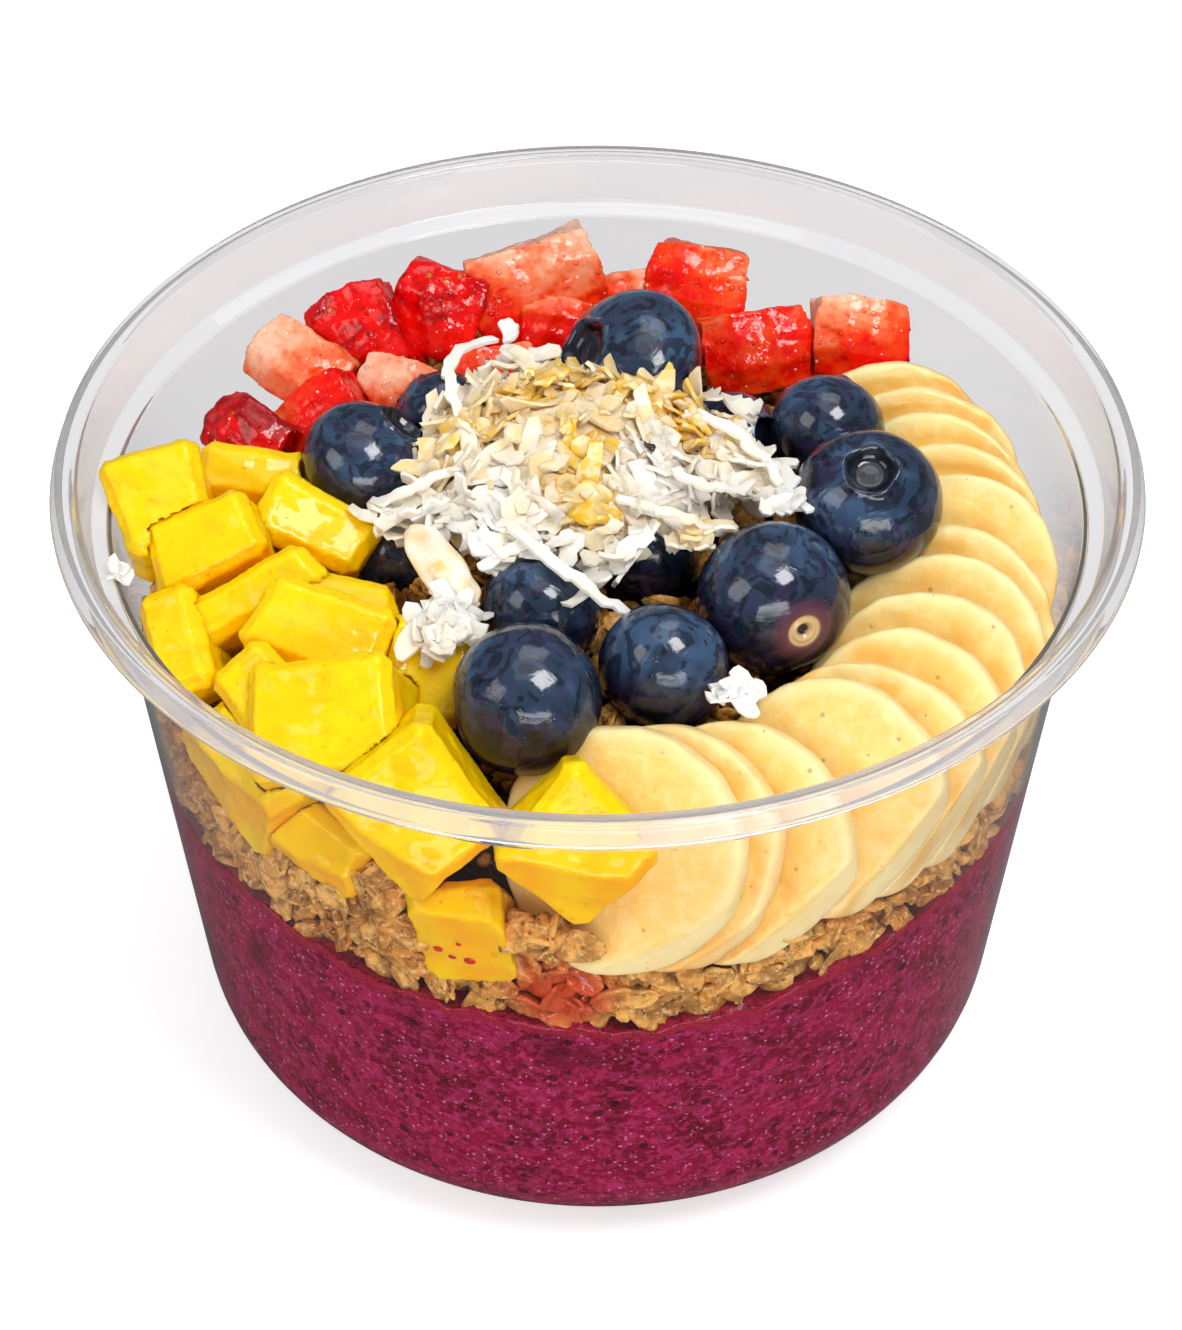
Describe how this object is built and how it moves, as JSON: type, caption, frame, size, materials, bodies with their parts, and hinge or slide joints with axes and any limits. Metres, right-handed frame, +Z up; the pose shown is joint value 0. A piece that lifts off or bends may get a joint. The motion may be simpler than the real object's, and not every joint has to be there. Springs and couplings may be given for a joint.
{
  "type": "acai bowl",
  "caption": "Clear plastic pot of blended acai topped with granola, mango cubes, strawberry, banana slices, blueberries and shredded coconut.",
  "frame": {"origin": "centre of the pot's flat base, on the surface it stands on", "axes": "+Z up through the middle of the pot; -Y is the front, +X the right-hand side seen from the front"},
  "size_m": [0.117, 0.117, 0.0803],
  "materials": {
    "pot": "clear, smooth and glossy",
    "acai": "moist, slightly grainy blended fruit",
    "granola": "dry toasted oats",
    "mango": "wet cut fruit",
    "strawberry": "wet cut fruit",
    "banana": "moist cut fruit",
    "blueberry": "dark skin under a syrup glaze",
    "coconut": "soft white shreds"
  },
  "bodies": {
    "root": {"acai": "acai", "banana_1": "banana", "banana_10": "banana", "banana_11": "banana", "banana_12": "banana", "banana_13": "banana", "banana_14": "banana", "banana_2": "banana", "banana_3": "banana", "banana_4": "banana", "banana_5": "banana", "banana_6": "banana", "banana_7": "banana", "banana_8": "banana", "banana_9": "banana", "blueberry_1": "blueberry", "blueberry_10": "blueberry", "blueberry_11": "blueberry", "blueberry_12": "blueberry", "blueberry_2": "blueberry", "blueberry_3": "blueberry", "blueberry_4": "blueberry", "blueberry_5": "blueberry", "blueberry_6": "blueberry", "blueberry_7": "blueberry", "blueberry_8": "blueberry", "blueberry_9": "blueberry", "coconut": "coconut", "granola": "granola", "mango_1": "mango", "mango_10": "mango", "mango_11": "mango", "mango_12": "mango", "mango_13": "mango", "mango_14": "mango", "mango_15": "mango", "mango_16": "mango", "mango_17": "mango", "mango_2": "mango", "mango_3": "mango", "mango_4": "mango", "mango_5": "mango", "mango_6": "mango", "mango_7": "mango", "mango_8": "mango", "mango_9": "mango", "pot": "pot", "strawberry_1": "strawberry", "strawberry_10": "strawberry", "strawberry_11": "strawberry", "strawberry_12": "strawberry", "strawberry_13": "strawberry", "strawberry_2": "strawberry", "strawberry_3": "strawberry", "strawberry_4": "strawberry", "strawberry_5": "strawberry", "strawberry_6": "strawberry", "strawberry_7": "strawberry", "strawberry_8": "strawberry", "strawberry_9": "strawberry"}
  },
  "joints": []
}
